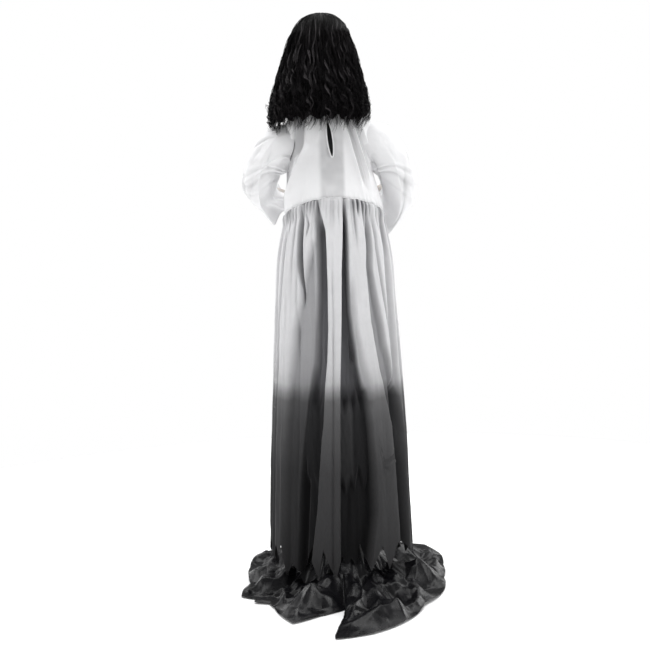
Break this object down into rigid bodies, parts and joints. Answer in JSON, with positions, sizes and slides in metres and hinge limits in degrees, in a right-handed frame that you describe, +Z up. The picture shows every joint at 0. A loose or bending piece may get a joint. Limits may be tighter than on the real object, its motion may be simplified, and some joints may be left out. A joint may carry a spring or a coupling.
{
  "type": "animated ghost figure",
  "caption": "Life-size ghost figure on a cross-footed pole stand, turning at waist and neck, with raised arms, long dark wig, gathered dress with jagged hem and a floor train.",
  "frame": {"origin": "centre of the base hub's underside, on the floor", "axes": "+Z up the pole; the figure faces -Y, its own left is +X"},
  "size_m": [0.5935, 0.8213, 1.6767],
  "materials": {
    "black_steel": "satin black paint on steel tube",
    "black_plastic": "matte black moulded plastic",
    "grey_plastic": "matte grey moulded plastic",
    "black_rubber": "matte rubber",
    "gear_nylon": "natural white nylon",
    "motor_steel": "brushed motor can",
    "spring_steel": "bright spring wire",
    "green_board": "green solder mask",
    "red_plastic": "gloss red moulded plastic",
    "cell_wrap": "printed film wrap, plain",
    "pale_skin": "pale painted vinyl",
    "eye": "gloss eyeball",
    "white_cloth": "thin white woven polyester",
    "dyed_cloth": "thin white polyester, dip-dyed to charcoal at the bottom",
    "black_satin": "shiny black satin, creased",
    "black_hair": "black synthetic hair"
  },
  "bodies": {
    "stand": {"base_hub": "black_plastic", "pole_knob": "black_plastic", "leg_rear_left": "black_steel", "leg_rear_right": "black_steel", "leg_front_right": "black_steel", "leg_front_left": "black_steel", "foot_cap_rear_left": "black_rubber", "foot_cap_rear_right": "black_rubber", "foot_cap_front_right": "black_rubber", "foot_cap_front_left": "black_rubber", "pole_lower": "black_steel", "pole_middle": "black_steel", "pole_upper": "black_steel", "control_case": "black_plastic", "control_back": "black_plastic", "pole_clamp": "black_plastic", "circuit_board": "green_board", "speaker": "grey_plastic", "cell_1": "cell_wrap", "cell_2": "cell_wrap", "cell_3": "cell_wrap", "button_spring": "spring_steel", "motor_lead": "black_rubber", "waist_housing": "black_plastic", "waist_motor": "motor_steel", "train": "black_satin"},
    "torso": {"waist_gear": "gear_nylon", "spine_tube": "black_steel", "shoulder_block": "black_plastic", "shoulder_bar": "black_steel", "torso_front_shell": "black_plastic", "torso_back_shell": "black_plastic", "shoulder_pivot_left": "black_steel", "shoulder_pivot_right": "black_steel", "neck_housing": "black_plastic", "neck_motor": "motor_steel", "neck_lead": "black_rubber", "bodice": "white_cloth", "skirt": "dyed_cloth"},
    "head": {"neck_gear": "gear_nylon", "neck_post": "black_steel", "head": "pale_skin", "eye_left": "eye", "eye_right": "eye", "wig": "black_hair"},
    "waist_pinion": {"waist_pinion": "gear_nylon"},
    "neck_pinion": {"neck_pinion": "gear_nylon"},
    "arm_left": {"shoulder_knuckle_left": "black_plastic", "upper_arm_left": "black_steel", "forearm_left": "pale_skin", "hand_left": "pale_skin", "sleeve_left": "white_cloth"},
    "arm_right": {"shoulder_knuckle_right": "black_plastic", "upper_arm_right": "black_steel", "forearm_right": "pale_skin", "hand_right": "pale_skin", "sleeve_right": "white_cloth"},
    "battery_door": {"battery_door": "black_plastic"},
    "try_me_button": {"try_me_button": "red_plastic"},
    "power_switch": {"power_switch": "grey_plastic"}
  },
  "joints": [
    {"name": "torso_turn", "type": "hinge", "parent": "stand", "child": "torso", "pos_m": [0, 0, 1.0515], "axis": [0, 0, 1], "range_deg": [-20, 20]},
    {"name": "waist_pinion_spin", "type": "hinge", "parent": "stand", "child": "waist_pinion", "pos_m": [0, -0.039, 1.0515], "axis": [0, 0, 1], "range_deg": [-70, 70]},
    {"name": "head_turn", "type": "hinge", "parent": "torso", "child": "head", "pos_m": [0, 0, 1.3512], "axis": [0, 0, 1], "range_deg": [-20, 20]},
    {"name": "neck_pinion_spin", "type": "hinge", "parent": "torso", "child": "neck_pinion", "pos_m": [0, -0.024, 1.3512], "axis": [0, 0, 1], "range_deg": [-64, 64]},
    {"name": "arm_left_raise", "type": "hinge", "parent": "torso", "child": "arm_left", "pos_m": [0.1229, 0, 1.3156], "axis": [-1, 0, 0], "range_deg": [0, 40]},
    {"name": "arm_right_raise", "type": "hinge", "parent": "torso", "child": "arm_right", "pos_m": [-0.1229, 0, 1.3156], "axis": [-1, 0, 0], "range_deg": [0, 40]},
    {"name": "battery_door_open", "type": "hinge", "parent": "stand", "child": "battery_door", "pos_m": [0, 0.0601, 0.4329], "axis": [-1, 0, 0], "range_deg": [0, 100]},
    {"name": "try_me_press", "type": "slide", "parent": "stand", "child": "try_me_button", "axis": [0, -1, 0], "range_m": [0, 0.0025], "stiffness_N_per_m": 300, "deforming": ["button_spring"]},
    {"name": "power_switch_slide", "type": "slide", "parent": "stand", "child": "power_switch", "axis": [0, 0, 1], "range_m": [0, 0.004]}
  ],
  "couplings": [
    {"joint": "waist_pinion_spin", "follows": "torso_turn", "ratio": -3.3333},
    {"joint": "neck_pinion_spin", "follows": "head_turn", "ratio": -3}
  ]
}
